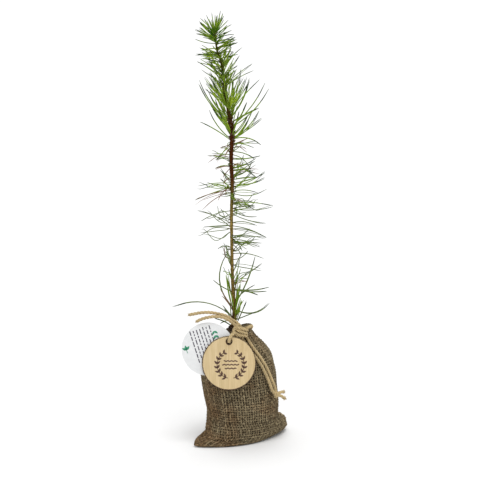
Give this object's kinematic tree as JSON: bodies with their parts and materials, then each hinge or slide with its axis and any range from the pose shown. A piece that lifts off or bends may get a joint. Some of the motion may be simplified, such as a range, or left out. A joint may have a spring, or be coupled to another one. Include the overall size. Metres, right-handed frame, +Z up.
{
  "type": "pine sapling with root ball",
  "caption": "Slender pine seedling standing on a root ball tied into a small burlap sack, with a drawstring and hanging round tags.",
  "frame": {"origin": "middle of the sack's flat underside, on the surface that it stands on", "axes": "+Z up along the plant; -Y towards the viewer, the side with the knot and the tags; +X to the viewer's right"},
  "size_m": [0.1091, 0.0747, 0.4005],
  "materials": {
    "burlap": "coarse woven jute",
    "peat": "crumbly and matt",
    "bark": "scaly bark",
    "needles": "satin needles",
    "tag_wood": "sanded bare wood",
    "tag_card": "coated white card",
    "cord": "twisted jute cord"
  },
  "bodies": {
    "root": {"sack": "burlap", "root_ball": "peat", "stem": "bark", "collar_needles": "needles", "low_needles": "needles", "lower_middle_needles": "needles", "middle_needles": "needles", "upper_middle_needles": "needles", "whorl_needles": "needles", "shoot_needles": "needles", "leader_needles": "needles", "upper_leader_needles": "needles", "tip_needles": "needles", "wood_tag": "tag_wood", "card_tag": "tag_card", "drawstring_knot": "cord", "tail_upper": "cord", "tail_lower": "cord", "fall_upper": "cord", "fall_lower": "cord", "tag_loop": "cord", "hem_strand": "cord", "end_knot": "cord"}
  },
  "joints": []
}
